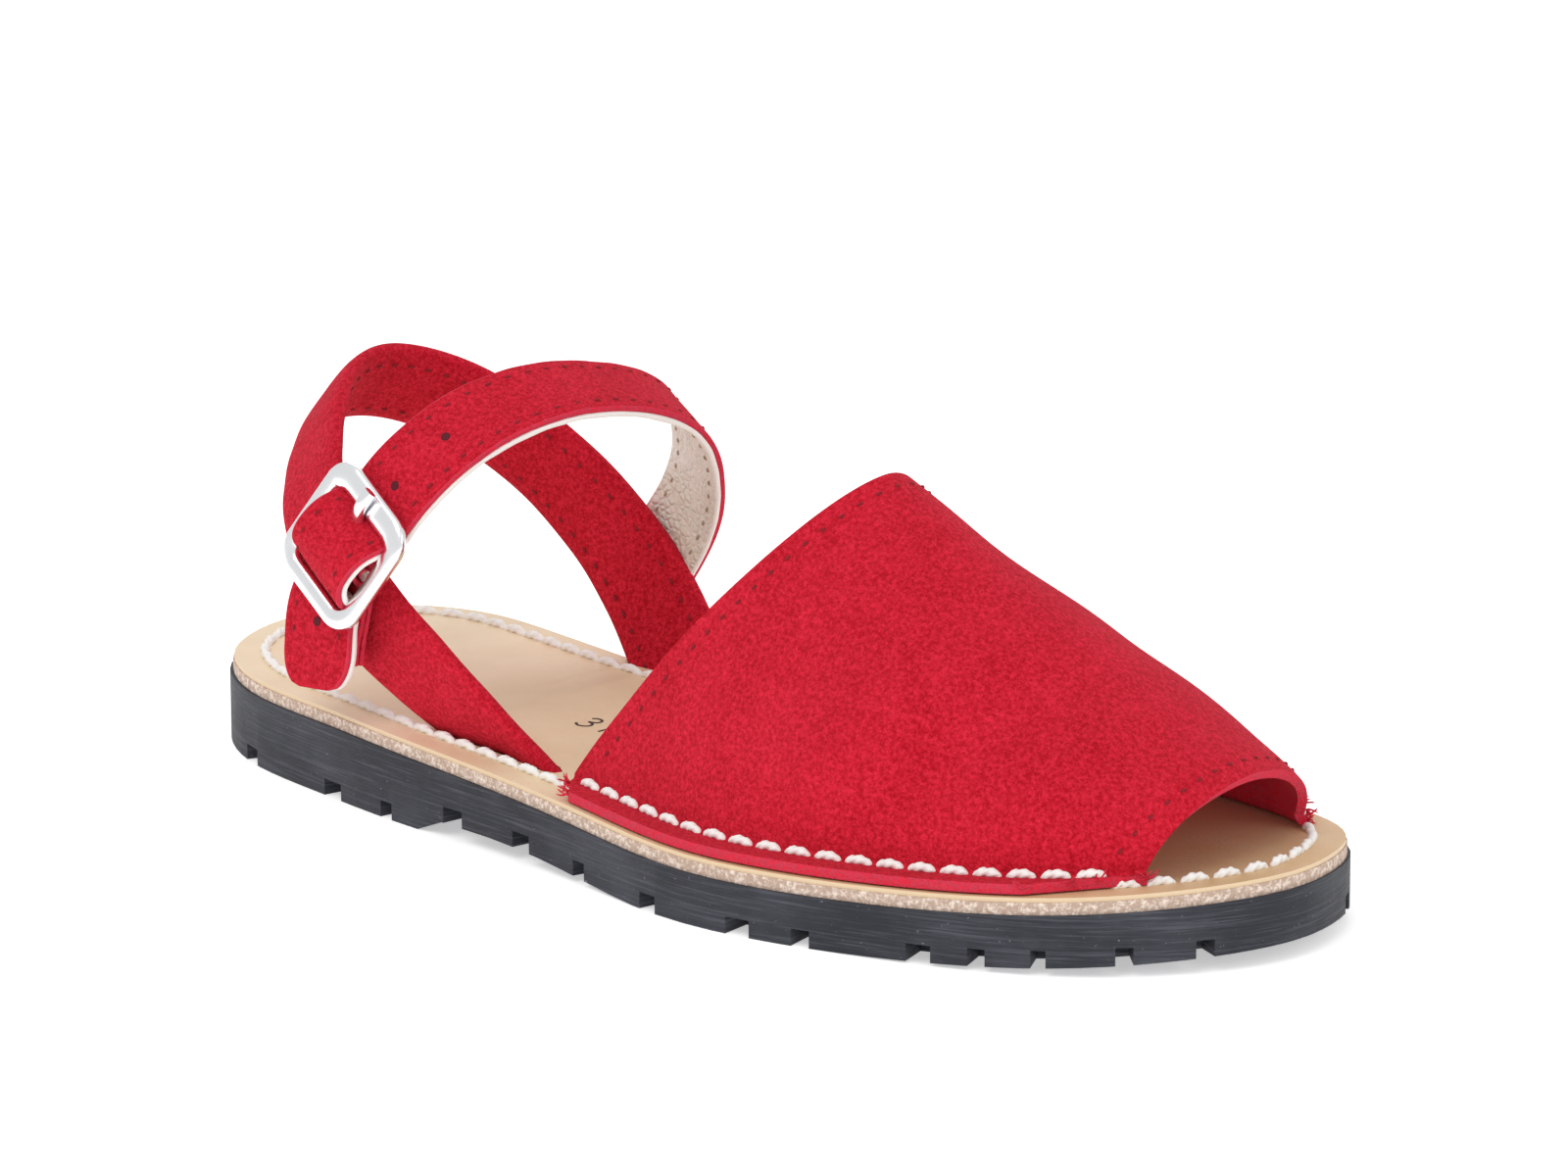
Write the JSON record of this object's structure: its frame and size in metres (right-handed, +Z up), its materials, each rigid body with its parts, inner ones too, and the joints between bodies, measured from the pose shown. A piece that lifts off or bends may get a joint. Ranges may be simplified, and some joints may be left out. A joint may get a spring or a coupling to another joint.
{
  "type": "avarca sandal",
  "caption": "Flat right-foot child's sandal: lugged rubber sole, stitched leather insole, peep-toe suede vamp, folded heel strap and buckled ankle strap.",
  "frame": {"origin": "centre of the bounding box's bottom face, on the floor plane under the sole", "axes": "+X to the toe along the sole, +Y to the big toe (medial) side, +Z up from the floor"},
  "size_m": [0.2099, 0.0819, 0.0672],
  "materials": {
    "rubber": "blue-black moulded rubber, matt, finely abraded",
    "fibre_board": "pressed leather-fibre board, raw speckled edge",
    "insole_leather": "smooth vegetable-tanned leather, soft sheen",
    "red_suede": "red suede with a short nap",
    "buckle_metal": "bright plated steel"
  },
  "bodies": {
    "root": {"outsole": "rubber", "insole_board": "fibre_board", "insole": "insole_leather", "vamp": "red_suede", "straps": "red_suede", "buckle_tab": "red_suede", "buckle_frame": "buckle_metal", "buckle_prong": "buckle_metal"}
  },
  "joints": []
}
